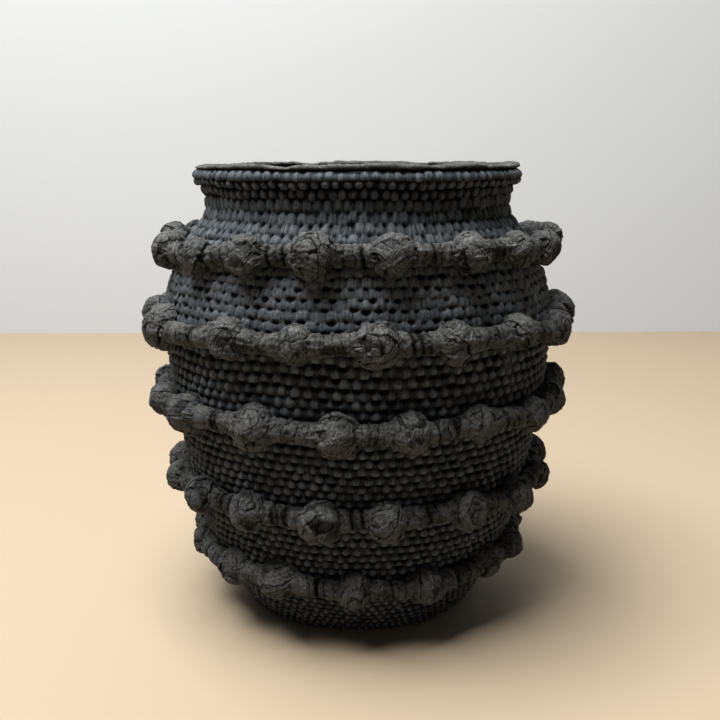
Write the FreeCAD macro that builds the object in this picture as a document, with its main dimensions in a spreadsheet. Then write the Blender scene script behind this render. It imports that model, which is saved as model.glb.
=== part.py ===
import FreeCAD, Part
import math
import os
import Sketcher

# Black clay pot with a woven skin and five knotted strands round its body.
#
# Frame: millimetres, +Z up, origin at the middle of the resting face.
# The side that is seen first faces -Y. An azimuth is measured from -Y towards +X.
#
# Pieces: a base slab, a smooth clay wall standing on it, a woven skin laid over both,
# a lip ring closing the top edge, and on each strand a row of wrapped balls with a
# length of wound cord between every two neighbours. Balls and cords are luted on: a ball
# is cut flat at the back by the plane that touches the skin there, and a cord by the
# cone that touches the skin at its strand's height, so no piece runs into another.

doc = FreeCAD.newDocument("ClayPot")

# ---------------------------------------------------------------------------
# Driving dimensions
# ---------------------------------------------------------------------------

DIMENSIONS = [
    # Outline of the skin's outer surface, from the resting plane upwards.
    # Each stretch is one arc between two stations.
    ("foot_radius", 46.5),
    ("flank_radius", 67.3),
    ("flank_height", 46.0),
    ("belly_radius", 78.6),
    ("belly_height", 114.0),
    ("collar_radius", 63.0),
    ("collar_height", 160.0),
    ("brim_radius", 65.7),
    ("brim_height", 175.0),
    ("crest_radius", 64.2),
    ("crest_height", 179.4),
    ("foot_bend", 98.0),
    ("flank_bend", 298.0),
    ("shoulder_bend", 62.0),
    ("neck_bend", 10.4),
    ("crest_bend", 4.5),
    # Thicknesses, measured level.
    ("skin_thickness", 2.2),
    ("clay_thickness", 4.2),
    ("slab_thickness", 6.0),
    ("skin_bottom", 0.8),
    # Lip ring.
    ("lip_top", 182.0),
    ("lip_overhang", 0.4),
    ("lip_rounding", 0.9),
    # Strand pieces.
    ("ball_radius", 7.5),
    ("cord_radius", 3.9),
    # Each strand: height of its line, and radii of the circles through the centres of its
    # cords and of its balls.
    ("strand_1_height", 150.8),
    ("strand_1_cord_circle", 73.9),
    ("strand_1_ball_circle", 76.0),
    ("strand_2_height", 122.0),
    ("strand_2_cord_circle", 81.3),
    ("strand_2_ball_circle", 81.6),
    ("strand_3_height", 90.9),
    ("strand_3_cord_circle", 79.8),
    ("strand_3_ball_circle", 80.0),
    ("strand_4_height", 57.2),
    ("strand_4_cord_circle", 73.2),
    ("strand_4_ball_circle", 74.8),
    ("strand_5_height", 27.4),
    ("strand_5_cord_circle", 65.4),
    ("strand_5_ball_circle", 65.4),
]

sheet = doc.addObject("Spreadsheet::Sheet", "Dims")
for row, (alias, value) in enumerate(DIMENSIONS, start=1):
    sheet.set("A%d" % row, alias)
    sheet.set("B%d" % row, str(value))
    sheet.setAlias("B%d" % row, alias)
doc.recompute()

# Balls on the front half of each strand, left to right: azimuth in degrees, size as a
# share of ball_radius, and lift above the strand's line in millimetres. The strands are
# laid by hand, so spacing and size vary. back_count balls close the ring behind.
STRANDS = {
    "strand_1": {
        "front": [(-74, 1.02, -2.2), (-49, 0.96, -1.5), (-30, 1.00, 0.4), (-11, 1.10, 1.0),
                  (9, 1.07, 1.0), (30, 0.96, 0.9), (49, 0.90, 0.6), (68, 0.94, -0.6)],
        "back_count": 10,
    },
    "strand_2": {
        "front": [(-64, 1.16, -1.3), (-33, 1.02, 0.7), (-15, 0.94, 0.4), (5, 1.07, 1.2),
                  (24, 1.00, 0.8), (44, 0.95, 0.8), (66, 0.96, -2.4)],
        "back_count": 10,
    },
    "strand_3": {
        "front": [(-71, 0.98, -1.1), (-52, 1.09, 0.2), (-27, 1.12, 1.1), (-5, 1.14, 0.3),
                  (13, 1.01, 0.4), (32, 0.86, 1.4), (53, 0.95, -0.9), (71, 0.88, -0.9)],
        "back_count": 10,
    },
    "strand_4": {
        "front": [(-73, 0.91, -0.2), (-52, 0.97, 0.4), (-32, 1.03, 0.3), (-10, 1.11, 0.1),
                  (8, 0.97, 0.6), (32, 0.97, 0.9), (54, 0.97, -0.6), (75, 0.88, -0.6)],
        "back_count": 9,
    },
    "strand_5": {
        "front": [(-74, 0.89, -0.1), (-47, 0.97, 0.0), (-27, 1.06, 1.2), (-1, 0.96, -0.2),
                  (23, 1.00, -0.4), (49, 0.89, 1.3), (72, 0.86, -0.6)],
        "back_count": 8,
    },
}

# Variation from ball to ball round the back, each a wave: its largest value, its pace from
# one ball to the next and its start, both in radians. The shift is in degrees of azimuth,
# the size a share of ball_radius, the lift in millimetres.
BACK_SHIFT = (1.6, 2.3, 0.0)
BACK_SIZE = (0.09, 1.7, 0.8)
BACK_LIFT = (0.8, 1.1, 2.0)

# A cord starts and ends this many degrees inside its two balls, so that the two cords
# of one ball stay apart.
CORD_INSET = 2.0

# How far a strand's seat reaches above and below its line, in millimetres.
SEAT_REACH = 20.0

# Heights closer than this are the same, in millimetres.
SAME_HEIGHT = 0.01

# A quarter of the pot per node: name, and its first azimuth.
QUARTERS = [("front_right", 0), ("back_right", 90), ("back_left", 180), ("front_left", 270)]


# ---------------------------------------------------------------------------
# Bodies of revolution
# ---------------------------------------------------------------------------

def plane_of(body, role):
    """The origin plane of a body with this role, such as XZ_Plane."""
    for feature in body.Origin.OriginFeatures:
        if feature.Role == role:
            return feature
    raise RuntimeError("no origin plane " + role)


def arc_between(low, high, radius, bulges_out):
    """Part.ArcOfCircle from station low to station high, centred inside or outside."""
    chord = math.hypot(high[0] - low[0], high[1] - low[1])
    middle = ((low[0] + high[0]) / 2, (low[1] + high[1]) / 2)
    along = ((high[0] - low[0]) / chord, (high[1] - low[1]) / chord)
    reach = math.sqrt(radius ** 2 - (chord / 2) ** 2)
    side = -reach if bulges_out else reach
    centre = (middle[0] + along[1] * side, middle[1] - along[0] * side)
    first, last = (low, high) if bulges_out else (high, low)
    start = math.atan2(first[1] - centre[1], first[0] - centre[0])
    end = math.atan2(last[1] - centre[1], last[0] - centre[0])
    circle = Part.Circle(FreeCAD.Vector(centre[0], centre[1], 0), FreeCAD.Vector(0, 0, 1), radius)
    return Part.ArcOfCircle(circle, start, end)


def fixed(sketch, kind, *rest):
    """Adds a dimension whose last item is a formula on the sheet, and binds it."""
    *where, formula = rest
    value = sheet_value(formula)
    index = sketch.addConstraint(Sketcher.Constraint(kind, *where, value))
    sketch.setExpression("Constraints[%d]" % index, formula)


def sheet_value(formula):
    """The number that a sum of sheet cells comes to, such as 'Dims.a - Dims.b'."""
    total = 0.0
    sign = 1
    for word in formula.split():
        if word in "+-":
            sign = 1 if word == "+" else -1
        else:
            total += sign * float(sheet.get(word.replace("Dims.", "")))
    return total


# Radius and height of each station of the outline. The first lies on the resting plane.
STATIONS = [
    ("Dims.foot_radius", ""),
    ("Dims.flank_radius", "Dims.flank_height"),
    ("Dims.belly_radius", "Dims.belly_height"),
    ("Dims.collar_radius", "Dims.collar_height"),
    ("Dims.brim_radius", "Dims.brim_height"),
    ("Dims.crest_radius", "Dims.crest_height"),
]

# Radius of the arc from each station to the next, and whether it bulges out.
BENDS = [
    ("Dims.foot_bend", True),
    ("Dims.flank_bend", True),
    ("Dims.shoulder_bend", True),
    ("Dims.neck_bend", False),
    ("Dims.crest_bend", True),
]


def station_places(inset=""):
    """Radius and height of each station, as numbers."""
    return [(sheet_value(r + inset), sheet_value(z) if z else 0.0) for r, z in STATIONS]


def skin_at(height):
    """The outline's radius at a height below the collar, and its growth per mm upwards."""
    places = station_places()
    for low, high, (bend, bulges_out) in zip(places, places[1:], BENDS):
        if low[1] <= height <= high[1] and bulges_out:
            circle = arc_between(low, high, sheet_value(bend), bulges_out)
            rise = height - circle.Center.y
            reach = math.sqrt(circle.Radius ** 2 - rise ** 2)
            return circle.Center.x + reach, -rise / reach
    raise RuntimeError("no bulging stretch of the outline at height %g" % height)


def pot_form(name, inset=""):
    """A solid pot shape up to the skin's crest, its outline moved in by a level inset."""
    body = doc.addObject("PartDesign::Body", name)
    sketch = body.newObject("Sketcher::SketchObject", name + "_outline")
    sketch.AttachmentSupport = [(plane_of(body, "XZ_Plane"), "")]
    sketch.MapMode = "FlatFace"
    stations = [(r + inset, z) for r, z in STATIONS]
    places = station_places(inset)
    crest_radius, top = places[-1]

    def vector(x, y):
        return FreeCAD.Vector(x, y, 0)

    axis = sketch.addGeometry(Part.LineSegment(vector(0, 0), vector(0, top)), False)
    floor = sketch.addGeometry(Part.LineSegment(vector(0, 0), vector(places[0][0], 0)), False)
    previous, previous_end = floor, 2
    sketch.addConstraint(Sketcher.Constraint("Coincident", axis, 1, -1, 1))
    sketch.addConstraint(Sketcher.Constraint("Coincident", floor, 1, -1, 1))
    sketch.addConstraint(Sketcher.Constraint("Vertical", axis))
    sketch.addConstraint(Sketcher.Constraint("Horizontal", floor))
    fixed(sketch, "DistanceX", -1, 1, floor, 2, stations[0][0])

    for step, (bend, bulges_out) in enumerate(BENDS):
        low, high = places[step], places[step + 1]
        arc = sketch.addGeometry(arc_between(low, high, sheet_value(bend), bulges_out), False)
        low_end, high_end = (1, 2) if bulges_out else (2, 1)
        sketch.addConstraint(Sketcher.Constraint("Coincident", previous, previous_end, arc, low_end))
        fixed(sketch, "Radius", arc, bend)
        fixed(sketch, "DistanceX", -1, 1, arc, high_end, stations[step + 1][0])
        fixed(sketch, "DistanceY", -1, 1, arc, high_end, stations[step + 1][1])
        previous, previous_end = arc, high_end

    lid = sketch.addGeometry(Part.LineSegment(vector(crest_radius, top), vector(0, top)), False)
    sketch.addConstraint(Sketcher.Constraint("Coincident", previous, previous_end, lid, 1))
    sketch.addConstraint(Sketcher.Constraint("Coincident", lid, 2, axis, 2))
    sketch.addConstraint(Sketcher.Constraint("Horizontal", lid))

    turned = body.newObject("PartDesign::Revolution", name + "_turned")
    turned.Profile = sketch
    turned.ReferenceAxis = (sketch, ["V_Axis"])
    turned.Angle = 360
    body.Tip = turned
    doc.recompute()
    return body


def cylinder(name, radius, bottom, height):
    """A Part::Cylinder on the pot's axis, each size a number or a formula on the sheet."""
    item = doc.addObject("Part::Cylinder", name)
    item.setExpression("Radius", radius)
    item.setExpression("Placement.Base.z", bottom)
    item.setExpression("Height", height)
    return item


def minus(name, base, tool):
    item = doc.addObject("Part::Cut", name)
    item.Base = base
    item.Tool = tool
    return item


def shared(name, base, tool):
    item = doc.addObject("Part::Common", name)
    item.Base = base
    item.Tool = tool
    return item


def group(name, items):
    item = doc.addObject("Part::Compound", name)
    item.Links = items
    return item


skin_form = pot_form("skin_form")
clay_form = pot_form("clay_form", " - Dims.skin_thickness")
cavity_form = pot_form("cavity_form", " - Dims.skin_thickness - Dims.clay_thickness")

# Larger than the pot: the zones above and below one level.
ZONE_RADIUS = "2 * Dims.belly_radius"
above_slab = cylinder("above_slab", ZONE_RADIUS, "Dims.slab_thickness", "Dims.lip_top")
below_slab = cylinder("below_slab", ZONE_RADIUS, "0", "Dims.slab_thickness")
above_skin_bottom = cylinder("above_skin_bottom", ZONE_RADIUS, "Dims.skin_bottom", "Dims.lip_top")

subparts = []


def subpart(item, label):
    """Marks a document object as one of the pot's pieces."""
    item.Label = label
    subparts.append(item)
    return item


subpart(shared("base_slab_solid", clay_form, below_slab), "base_slab")

clay_shell = minus("clay_shell", clay_form, cavity_form)
subpart(shared("clay_wall_solid", clay_shell, above_slab), "clay_wall")

skin_shell = minus("skin_shell", skin_form, clay_form)
subpart(shared("woven_skin_solid", skin_shell, above_skin_bottom), "woven_skin")


def lip_ring():
    """A low ring with rounded top edges, on top of the clay wall and the skin."""
    outer = cylinder("lip_outer", "Dims.crest_radius + Dims.lip_overhang", "Dims.crest_height",
                     "Dims.lip_top - Dims.crest_height")
    inner = cylinder("lip_inner",
                     "Dims.crest_radius - Dims.skin_thickness - Dims.clay_thickness - Dims.lip_overhang",
                     "Dims.skin_bottom", "Dims.lip_top")
    ring = minus("lip_sharp", outer, inner)
    doc.recompute()
    rounded = doc.addObject("Part::Fillet", "lip_rounded")
    rounded.Base = ring
    radius = sheet_value("Dims.lip_rounding")
    top = sheet_value("Dims.lip_top")
    rims = [number for number, edge in enumerate(ring.Shape.Edges, start=1)
            if len(edge.Vertexes) == 1 and abs(edge.CenterOfMass.z - top) < SAME_HEIGHT]
    rounded.Edges = [(number, radius, radius) for number in rims]
    return rounded


subpart(lip_ring(), "lip_ring")


# ---------------------------------------------------------------------------
# Strands
# ---------------------------------------------------------------------------

def wave(variation, place):
    """The variation's value at one ball."""
    largest, pace, start = variation
    return largest * math.sin(pace * place + start)


def all_balls(front, back_count):
    """The front balls, then back_count more spaced evenly from the last round to the first."""
    balls = list(front)
    first, last = front[0][0] + 360, front[-1][0]
    gap = (first - last) / (back_count + 1)
    for place in range(1, back_count + 1):
        azimuth = last + gap * place + wave(BACK_SHIFT, place)
        balls.append((azimuth, 1.0 + wave(BACK_SIZE, place), wave(BACK_LIFT, place)))
    return balls


def quarter_of(azimuth):
    return next(name for name, start in reversed(QUARTERS) if azimuth % 360 >= start)


def full_ball(name, strand, azimuth, size, lift):
    """A whole sphere centred on the circle of the strand's balls."""
    item = doc.addObject("Part::Sphere", name)
    item.setExpression("Radius", "Dims.ball_radius * %.3f" % size)
    item.setExpression("Placement.Base.x", "Dims.%s_ball_circle * sin(%.3f deg)" % (strand, azimuth))
    item.setExpression("Placement.Base.y", "-Dims.%s_ball_circle * cos(%.3f deg)" % (strand, azimuth))
    item.setExpression("Placement.Base.z", "Dims.%s_height + %.3f" % (strand, lift))
    return item


def seated_ball(name, strand, azimuth, size, lift):
    """The same sphere without the cap behind the plane that touches the skin."""
    skin_radius, growth = skin_at(sheet_value("Dims.%s_height" % strand))
    level, upright = 1 / math.hypot(1, growth), -growth / math.hypot(1, growth)
    stand_off = sheet_value("Dims.%s_ball_circle" % strand) - skin_radius
    clear = stand_off * level + lift * upright
    turn = math.radians(azimuth)
    outwards = FreeCAD.Vector(level * math.sin(turn), -level * math.cos(turn), upright)
    item = full_ball(name, strand, azimuth, size, lift)
    item.Placement.Rotation = FreeCAD.Rotation(FreeCAD.Vector(0, 0, 1), outwards)
    item.Angle1 = -math.degrees(math.asin(clear / (sheet_value("Dims.ball_radius") * size)))
    return item


def cord(name, strand, start, end, lift):
    """An arc of a torus from inside one ball to inside the next."""
    item = doc.addObject("Part::Torus", name)
    item.setExpression("Radius1", "Dims.%s_cord_circle" % strand)
    item.setExpression("Radius2", "Dims.cord_radius")
    item.Angle3 = end - start - 2 * CORD_INSET
    turn = FreeCAD.Rotation(FreeCAD.Vector(0, 0, 1), start + CORD_INSET - 90)
    item.Placement = FreeCAD.Placement(FreeCAD.Vector(0, 0, 0), turn)
    item.setExpression("Placement.Base.z", "Dims.%s_height + %.3f" % (strand, lift))
    return item


def seat(strand):
    """A solid cone, inside the strand, that touches the skin's outline at its height."""
    radius, growth = skin_at(sheet_value("Dims.%s_height" % strand))
    item = doc.addObject("Part::Cone", strand + "_seat")
    item.Radius1 = radius - growth * SEAT_REACH
    item.Radius2 = radius + growth * SEAT_REACH
    item.Height = 2 * SEAT_REACH
    item.setExpression("Placement.Base.z", "Dims.%s_height - %g" % (strand, SEAT_REACH))
    return item


def make_strand(strand, front, back_count):
    """The balls and the cords of one strand, a node for each quarter of the pot."""
    placed = all_balls(front, back_count)
    balls = {name: [] for name, _ in QUARTERS}
    cords = {name: [] for name, _ in QUARTERS}
    ball_rooms = []
    for number, (azimuth, size, lift) in enumerate(placed, start=1):
        piece = seated_ball("%s_ball_%d" % (strand, number), strand, azimuth, size, lift)
        balls[quarter_of(azimuth)].append(piece)
        room = full_ball("%s_ball_room_%d" % (strand, number), strand, azimuth, size, lift)
        ball_rooms.append(room)
        next_azimuth, _, next_lift = placed[number % len(placed)]
        if next_azimuth < azimuth:
            next_azimuth += 360
        arc = cord("%s_arc_%d" % (strand, number), strand, azimuth, next_azimuth,
                   (lift + next_lift) / 2)
        cords[quarter_of((azimuth + next_azimuth) / 2)].append(arc)

    back = seat(strand)
    every_room = group(strand + "_ball_rooms", ball_rooms)
    for name, _ in QUARTERS:
        label = "%s_balls_%s" % (strand, name)
        subpart(group(label + "_solids", balls[name]), label)
    for name, _ in QUARTERS:
        label = "%s_cords_%s" % (strand, name)
        whole = group(label + "_whole", cords[name])
        between = minus(label + "_between", whole, every_room)
        subpart(minus(label + "_seated", between, back), label)
    return len(placed)


ball_counts = {name: make_strand(name, **strand) for name, strand in STRANDS.items()}
doc.recompute()


# ---------------------------------------------------------------------------
# Check every object, then write the pieces
# ---------------------------------------------------------------------------

for item in doc.Objects:
    if "Invalid" in item.State or "Error" in item.State:
        raise RuntimeError("%s failed: %s" % (item.Name, item.State))

for item in subparts:
    shape = item.Shape
    if shape.isNull() or not shape.isValid() or not shape.Solids:
        raise RuntimeError("bad shape: " + item.Label)
    if not all(solid.isClosed() and solid.Volume > 0 for solid in shape.Solids):
        raise RuntimeError("open solid: " + item.Label)

for kind in ("balls", "cords"):
    for strand, count in ball_counts.items():
        start = "%s_%s_" % (strand, kind)
        solids = sum(len(item.Shape.Solids) for item in subparts if item.Label.startswith(start))
        if solids != count:
            raise RuntimeError("%s has %d solids, not %d" % (start, solids, count))

os.makedirs("parts", exist_ok=True)
for item in subparts:
    item.Shape.exportStep("parts/%s.step" % item.Label)
    print("%-30s %3d solids %10.1f mm3" % (item.Label, len(item.Shape.Solids), item.Shape.Volume))
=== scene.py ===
"""Visual model of a matt black clay pot: a woven skin, five strands of wrapped balls and
wound cord, a smooth clay wall and floor slab inside it, and a hand-pressed lip.

Lengths are in metres unless a comment says otherwise. An azimuth is in radians, 0 at the
front (-Y), growing towards +X.
"""
from collections import namedtuple
import math

import bpy
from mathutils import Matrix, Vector
import numpy as np


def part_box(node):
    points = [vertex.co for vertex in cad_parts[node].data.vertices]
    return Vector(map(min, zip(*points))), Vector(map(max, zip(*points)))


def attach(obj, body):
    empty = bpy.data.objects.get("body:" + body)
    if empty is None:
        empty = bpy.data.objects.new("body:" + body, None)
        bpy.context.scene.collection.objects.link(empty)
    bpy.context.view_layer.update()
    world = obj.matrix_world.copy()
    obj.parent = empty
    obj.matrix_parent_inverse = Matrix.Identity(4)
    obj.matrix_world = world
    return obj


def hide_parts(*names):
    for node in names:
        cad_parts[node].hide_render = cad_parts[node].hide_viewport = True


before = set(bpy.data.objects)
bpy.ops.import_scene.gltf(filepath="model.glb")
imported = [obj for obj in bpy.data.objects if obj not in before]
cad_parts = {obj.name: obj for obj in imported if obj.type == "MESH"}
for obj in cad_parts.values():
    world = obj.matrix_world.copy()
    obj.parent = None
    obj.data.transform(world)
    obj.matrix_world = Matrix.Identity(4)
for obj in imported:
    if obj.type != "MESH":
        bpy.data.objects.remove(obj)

MM = 0.001
FULL_TURN = 2 * math.pi
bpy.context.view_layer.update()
QUARTERS = ["front_right", "back_right", "back_left", "front_left"]
STRAND_COUNT = 5


# ---------------------------------------------------------------------------
# Noise
# ---------------------------------------------------------------------------

def hashed(ix, iy, iz, seed):
    """A repeatable number from 0 to 1 for each lattice point, from mixing its bits."""
    mixed = (ix.astype(np.int64) * 374761393 + iy.astype(np.int64) * 668265263
             + iz.astype(np.int64) * 2147483647 + seed * 1274126177)
    mixed = (mixed ^ (mixed >> 13)) * 1103515245 & 0x7FFFFFFF
    mixed = (mixed ^ (mixed >> 16)) * 69069 & 0x7FFFFFFF
    return (mixed & 0xFFFFFF) / float(0xFFFFFF)


def noise(points, seed=0):
    """Smooth value noise from -1 to 1 at an (n, 3) array of points, one lattice step apart."""
    cell = np.floor(points).astype(np.int64)
    part = points - cell
    ease = part * part * part * (part * (part * 6 - 15) + 10)
    total = np.zeros(len(points))
    for dx in (0, 1):
        wx = ease[:, 0] if dx else 1 - ease[:, 0]
        for dy in (0, 1):
            wy = ease[:, 1] if dy else 1 - ease[:, 1]
            for dz in (0, 1):
                wz = ease[:, 2] if dz else 1 - ease[:, 2]
                corner = hashed(cell[:, 0] + dx, cell[:, 1] + dy, cell[:, 2] + dz, seed)
                total += wx * wy * wz * corner
    return total * 2 - 1


def rough_noise(points, seed=0, octaves=3):
    """Several layers of noise, each twice as fine and half as strong."""
    total = np.zeros(len(points))
    for octave in range(octaves):
        total += noise(points * 2 ** octave, seed + 17 * octave) / 2 ** octave
    return total


def smooth_step(value, low, high):
    """0 below low, 1 above high and an eased rise between them."""
    share = np.clip((value - low) / (high - low), 0, 1)
    return share * share * (3 - 2 * share)


# ---------------------------------------------------------------------------
# Meshes
# ---------------------------------------------------------------------------

def full_turn(count):
    """The azimuths of count even steps round a circle."""
    return np.arange(count) * FULL_TURN / count


def around_axis(radius, azimuth, z):
    """Points at distances from the pot's axis, azimuths and heights."""
    return np.stack([radius * np.sin(azimuth), -radius * np.cos(azimuth), z], -1)


def grid_faces(rows, columns):
    """Quads of a rows x columns grid of vertices, each row of it a closed ring."""
    row, column = np.meshgrid(np.arange(rows - 1), np.arange(columns), indexing="ij")
    after = (column + 1) % columns
    corners = [row * columns + column, row * columns + after,
               (row + 1) * columns + after, (row + 1) * columns + column]
    return np.stack(corners, -1).reshape(-1, 4)


def closing_faces(rows, columns):
    """Quads from a grid's last row back to its first."""
    column = np.arange(columns)
    after = (column + 1) % columns
    last = (rows - 1) * columns
    return np.stack([column + last, after + last, after, column], -1)


def fan_faces(columns, ring_start, tip, outward):
    """Triangles from one ring of vertices to a tip."""
    column = np.arange(columns)
    after = (column + 1) % columns
    order = [column, after] if outward else [after, column]
    return np.stack([order[0] + ring_start, order[1] + ring_start, np.full(columns, tip)], -1)


def capped_tube_faces(rows, columns, flipped=False):
    """Faces of a tube of rings that ends in two tips, its last two vertices."""
    tube = grid_faces(rows, columns)
    if flipped:
        tube = tube[:, ::-1]
    last_ring, first_tip = (rows - 1) * columns, rows * columns
    caps = np.concatenate([
        fan_faces(columns, 0, first_tip, outward=flipped),
        fan_faces(columns, last_ring, first_tip + 1, outward=not flipped),
    ])
    return [tube, caps]


def build_mesh(name, vertices, face_groups, values=None):
    """A smooth-shaded object from vertices and arrays of 3- or 4-cornered faces."""
    mesh = bpy.data.meshes.new(name)
    mesh.vertices.add(len(vertices))
    mesh.vertices.foreach_set("co", np.ascontiguousarray(vertices, dtype=np.float32).ravel())
    corners = np.concatenate([group.ravel() for group in face_groups]).astype(np.int32)
    sizes = np.concatenate([np.full(len(group), group.shape[1]) for group in face_groups])
    starts = np.concatenate([[0], np.cumsum(sizes)[:-1]]).astype(np.int32)
    mesh.loops.add(len(corners))
    mesh.loops.foreach_set("vertex_index", corners)
    mesh.polygons.add(len(sizes))
    mesh.polygons.foreach_set("loop_start", starts)
    mesh.update(calc_edges=True)
    mesh.polygons.foreach_set("use_smooth", np.ones(len(sizes), dtype=bool))
    for key, numbers in (values or {}).items():
        layer = mesh.attributes.new(key, "FLOAT", "POINT")
        layer.data.foreach_set("value", np.ascontiguousarray(numbers, dtype=np.float32))
    mesh.validate()
    piece = bpy.data.objects.new(name, mesh)
    bpy.context.scene.collection.objects.link(piece)
    return piece


class Parts:
    """Gathers several closed forms into one piece."""

    def __init__(self):
        self.vertices, self.faces, self.values = [], [], {}
        self.count = 0

    def add(self, vertices, face_groups, values):
        self.vertices.append(vertices)
        self.faces += [group + self.count for group in face_groups]
        for key, numbers in values.items():
            self.values.setdefault(key, []).append(numbers)
        self.count += len(vertices)

    def build(self, name):
        values = {key: np.concatenate(numbers) for key, numbers in self.values.items()}
        return build_mesh(name, np.concatenate(self.vertices), self.faces, values)


def place(piece, node, material):
    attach(piece, "root")
    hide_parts(node)
    piece.data.materials.append(material)
    return piece


def node_points(node):
    """The vertices of a CAD node as an (n, 3) array."""
    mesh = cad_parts[node].data
    flat = np.empty(len(mesh.vertices) * 3, dtype=np.float32)
    mesh.vertices.foreach_get("co", flat)
    return flat.reshape(-1, 3).astype(float)


# ---------------------------------------------------------------------------
# The pot's outline, read from the CAD skin
# ---------------------------------------------------------------------------

def read_outline(node, inner=False):
    """The heights at which a turned CAD node has vertices, and its radius at each."""
    points = node_points(node)
    radii = np.hypot(points[:, 0], points[:, 1])
    heights = points[:, 2]
    levels = np.unique(np.round(heights, 6))
    pick = np.min if inner else np.max
    sides = np.array([pick(radii[np.abs(heights - level) < 2e-6]) for level in levels])
    return levels, sides


OUTLINE_STEPS = 720
EASING_WINDOW = 9


def evenly(levels, sides):
    """The same outline at even heights, its corners eased by a moving average."""
    heights = np.linspace(levels[0], levels[-1], OUTLINE_STEPS)
    radii = np.interp(heights, levels, sides)
    padded = np.pad(radii, EASING_WINDOW // 2, mode="reflect", reflect_type="odd")
    weights = np.ones(EASING_WINDOW) / EASING_WINDOW
    return heights, np.convolve(padded, weights, mode="valid")


def outer_outline():
    """The skin's outer outline: the CAD levels whose widest vertices are on the outside."""
    levels, widest = read_outline("woven_skin")
    _, narrowest = read_outline("woven_skin", inner=True)
    least_gap, tolerance = 1.0 * MM, 0.6 * MM
    both_walls = widest - narrowest > least_gap
    keep = both_walls.copy()
    for index in np.flatnonzero(~both_walls):
        expected = np.interp(levels[index], levels[both_walls], widest[both_walls])
        keep[index] = abs(widest[index] - expected) < tolerance
    return evenly(levels[keep], widest[keep])


SKIN_Z, SKIN_R = outer_outline()
SKIN_THICKNESS = 2.2 * MM


def skin_radius(z):
    """Radius of the skin's outside at a height."""
    return np.interp(z, SKIN_Z, SKIN_R)


def skin_slope(z):
    """Growth of the radius per metre upwards."""
    step = 0.6 * MM
    return (skin_radius(z + step) - skin_radius(z - step)) / (2 * step)


# ---------------------------------------------------------------------------
# Woven skin
# ---------------------------------------------------------------------------

BUMPS_ROUND = 104           # the same yarns run from the foot to the rim
BUMP_DEPTH = 1.45 * MM      # from the crest of a bump to the floor of a pit
BUMP_CREST = 0.25 * MM      # how far crests stand out of the CAD surface
STEPS_PER_BUMP = 10
STEPS_PER_ROW = 8

# The look of one row. square: exponent of the outline (2 is oval, 4 nearly a rectangle);
# fullness: small for flat tops, 1 for pointed ones; half_width and half_height: as shares of
# the pitch; ground: height of the cross yarn between bumps; pit: depth of the hole under a
# bump's foot; groove: depth of the fine lines down a bump.
Row = namedtuple("Row", "square fullness half_width half_height ground pit groove")
SOFT = Row(2.2, 0.75, 0.47, 0.56, 0.55, 0.25, 0.04)
KNOB = Row(2.2, 0.55, 0.41, 0.47, 0.26, 0.35, 0.00)
TALL = Row(3.4, 0.34, 0.44, 0.61, 0.50, 0.50, 0.07)
FLAT = Row(3.8, 0.34, 0.47, 0.61, 0.66, 0.90, 0.09)
PEAK = Row(1.8, 0.85, 0.46, 0.62, 0.40, 0.50, 0.02)
# The rows of each band of skin, from its top down. The last one goes on to the band's foot.
BANDS = [(SOFT, KNOB, KNOB, TALL), (TALL, FLAT), (FLAT, PEAK), (PEAK,), (PEAK,), (PEAK,)]
# From one row of bumps to the next in each band, along the surface.
ROW_PITCHES = [4.3 * MM, 4.0 * MM, 3.75 * MM, 3.35 * MM, 3.3 * MM, 3.2 * MM]


def weave(u, v, styles, seed):
    """Height from 0 to 1 of a plain weave. u counts bumps round the pot, v counts rows up."""
    row_of = np.floor(v).astype(np.int64)
    last = len(styles) - 1
    height = styles[np.clip(row_of, 0, last)][:, Row._fields.index("ground")]
    # The cross yarn is round: lower towards the edges of its row.
    height = height * (0.80 - 0.20 * np.cos(FULL_TURN * v))
    holes = np.zeros(len(u))
    for neighbour in (-1, 0, 1):
        row = row_of + neighbour
        style = styles[np.clip(row, 0, last)].T
        square, fullness, half_width, half_height, _, pit, groove = style
        shift = 0.5 * (row & 1)
        column = np.round(u - shift).astype(np.int64) % BUMPS_ROUND
        zero = np.zeros_like(row)
        # Every bump has its own place, size, fullness, lean and hole.
        side, rise, size, full, lean, hole = (hashed(column, row, zero + which, seed) - 0.5
                                              for which in range(6))
        along = v - (row + 0.5) - 0.234 * rise
        across = u - shift - np.round(u - shift) - 0.182 * side - 0.2 * lean * along
        # A bump is a little broader at its head than at its foot.
        wide = (half_width + 0.05 * np.clip(along, -0.6, 0.6)) * (1 + 0.28 * size)
        inside = 1 - (np.abs(across) / wide) ** square - (np.abs(along) / half_height) ** square
        crest = (1 + 0.55 * full) * np.clip(inside, 0, 1) ** fullness
        crest = crest - groove * (1 - np.cos(4 * math.pi * (across + 0.5 * lean))) * (crest > 0)
        crest = crest * (1 - 0.18 * np.clip(-along, 0, 0.6))
        height = np.maximum(height, crest)
        reach = 1 + 0.9 * hole
        to_hole = (across / (0.23 * reach)) ** 2 + ((along + 0.52) / (0.18 * reach)) ** 2
        holes = np.maximum(holes, pit * (0.8 + hole) * np.exp(-to_hole ** 1.5))
    return height - holes


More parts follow.
